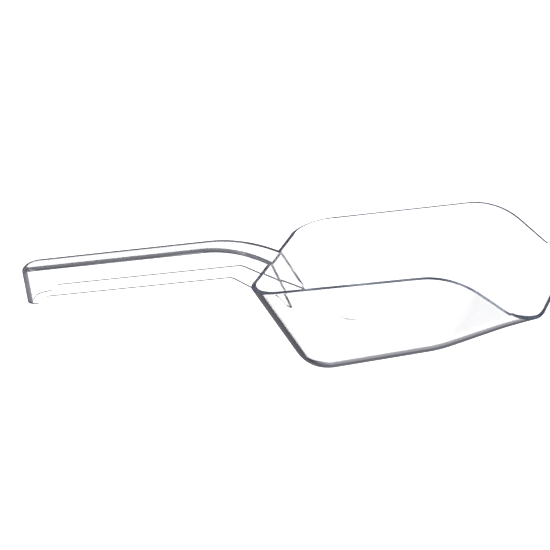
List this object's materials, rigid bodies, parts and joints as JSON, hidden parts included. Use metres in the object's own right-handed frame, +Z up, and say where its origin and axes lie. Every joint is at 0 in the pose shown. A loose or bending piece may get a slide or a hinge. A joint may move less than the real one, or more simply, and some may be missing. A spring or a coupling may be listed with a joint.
{
  "type": "ice scoop",
  "caption": "Clear plastic bar scoop: deep round-cornered bowl with a ramped open lip and a long, hollow channel handle that climbs to the rear.",
  "frame": {"origin": "on the resting plane, under the middle of the overall length and width", "axes": "+X from the handle towards the scooping lip, +Y to the left, +Z up from the flat underside of the bowl"},
  "size_m": [0.3248, 0.1126, 0.0851],
  "materials": {
    "clear_polycarbonate": "water-clear injection-moulded polycarbonate, polished, with a faint blue-grey cast at the edges"
  },
  "bodies": {
    "root": {"bowl": "clear_polycarbonate", "scooping_lip": "clear_polycarbonate", "handle_neck": "clear_polycarbonate", "handle_grip": "clear_polycarbonate", "handle_end": "clear_polycarbonate"}
  },
  "joints": []
}
